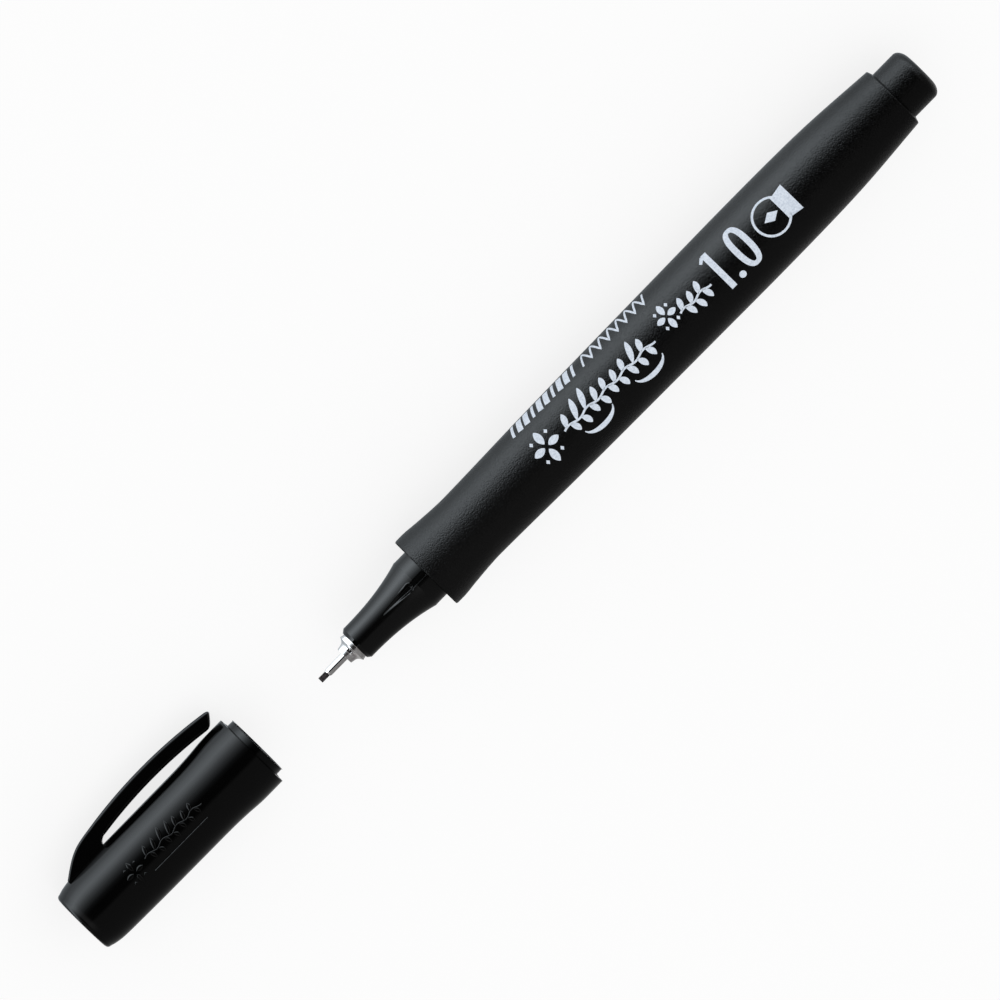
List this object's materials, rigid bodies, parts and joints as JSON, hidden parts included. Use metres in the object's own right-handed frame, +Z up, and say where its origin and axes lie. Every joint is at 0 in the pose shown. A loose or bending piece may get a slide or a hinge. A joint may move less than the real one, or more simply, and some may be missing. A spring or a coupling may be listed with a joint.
{
  "type": "calligraphy marker",
  "caption": "Slim black calligraphy marker with a flat chisel nib in a stepped metal ferrule, a waisted barrel, a tail stub and a push-on cap with an arched pocket clip, cap drawn off.",
  "frame": {"origin": "centre of the tail's flat end face, on the pen's axis", "axes": "+X along the pen's axis from the tail to the nib and on to the cap, +Z up; the pen lies on its side, with its belly on the surface at z = -6.6 mm and the clip's edge 0.18 mm off it, and the clip points to -Y and 26.9 degrees down"},
  "size_m": [0.1786, 0.0164, 0.0132],
  "materials": {
    "soft_touch_black": "fine speckled soft-touch matte",
    "gloss_black": "polished moulding",
    "satin_black": "satin moulding",
    "bright_metal": "bright nickel plate",
    "nib_fibre": "ink-soaked extruded nib",
    "feed_fibre": "ink-soaked fibre",
    "core_fibre": "ink-soaked fibre",
    "pale_print": "pad-printed ornament on the barrel",
    "clear_film": "thin wrapping film"
  },
  "bodies": {
    "pen": {"barrel": "soft_touch_black", "tail_plug": "soft_touch_black", "ink_reservoir": "core_fibre", "reservoir_film": "clear_film", "feed_rod": "feed_fibre", "section": "satin_black", "ferrule": "bright_metal", "nib_tube": "bright_metal", "nib": "nib_fibre"},
    "cap": {"cap_shell": "gloss_black", "cap_sleeve": "gloss_black"},
    "clip": {"pocket_clip": "gloss_black"}
  },
  "joints": [
    {"name": "cap_slide", "type": "slide", "parent": "pen", "child": "cap", "axis": [-1, 0, 0], "range_m": [0, 0.03695]},
    {"name": "clip_flex", "type": "hinge", "parent": "cap", "child": "clip", "pos_m": [0.1672, -0.00717, -0.00364], "axis": [0, -0.4528, 0.8916], "range_deg": [0, 6], "stiffness_Nm_per_rad": 1}
  ]
}
